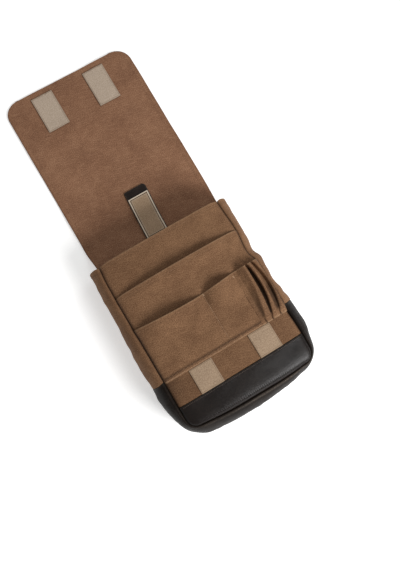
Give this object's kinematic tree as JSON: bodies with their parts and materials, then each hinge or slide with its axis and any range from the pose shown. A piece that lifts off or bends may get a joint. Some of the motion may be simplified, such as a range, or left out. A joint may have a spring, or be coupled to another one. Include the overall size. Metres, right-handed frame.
{
  "type": "laptop backpack",
  "caption": "Flap-top laptop backpack in waxed canvas and leather, lying open on its back, with gusseted compartment, front pockets, pen sleeves, tape closures and padded straps.",
  "frame": {"origin": "middle of the footprint, on the surface that the bag lies on", "axes": "+Y up the bag from its leather base to the mouth and on along the open flap, +Z out of the bag's front, +X to the right when the front is seen with the flap at the top"},
  "size_m": [0.337, 0.8213, 0.1194],
  "materials": {
    "canvas": "waxed canvas, mottled tan brown, matte",
    "leather": "dark brown pebbled leather with a soft sheen",
    "tape": "beige hook and loop tape, matte",
    "webbing": "brown cotton webbing, matte",
    "hardware": "dark gunmetal, satin"
  },
  "bodies": {
    "root": {"back_panel": "canvas", "base_wall": "leather", "left_side": "canvas", "right_side": "canvas", "front_wall": "canvas", "base_panel": "leather", "middle_pocket": "canvas", "lower_pocket": "canvas", "pen_sleeves": "canvas", "loop_patch_left": "tape", "loop_patch_right": "tape", "flap": "canvas", "hook_patch_left": "tape", "hook_patch_right": "tape", "laptop_tab": "leather", "tab_patch": "tape", "shoulder_strap_left": "canvas", "shoulder_strap_right": "canvas", "strap_keeper_left": "webbing", "strap_keeper_right": "webbing", "ladder_lock_left": "hardware", "ladder_lock_right": "hardware", "strap_webbing_left": "webbing", "strap_webbing_right": "webbing", "grab_handle": "leather"}
  },
  "joints": []
}
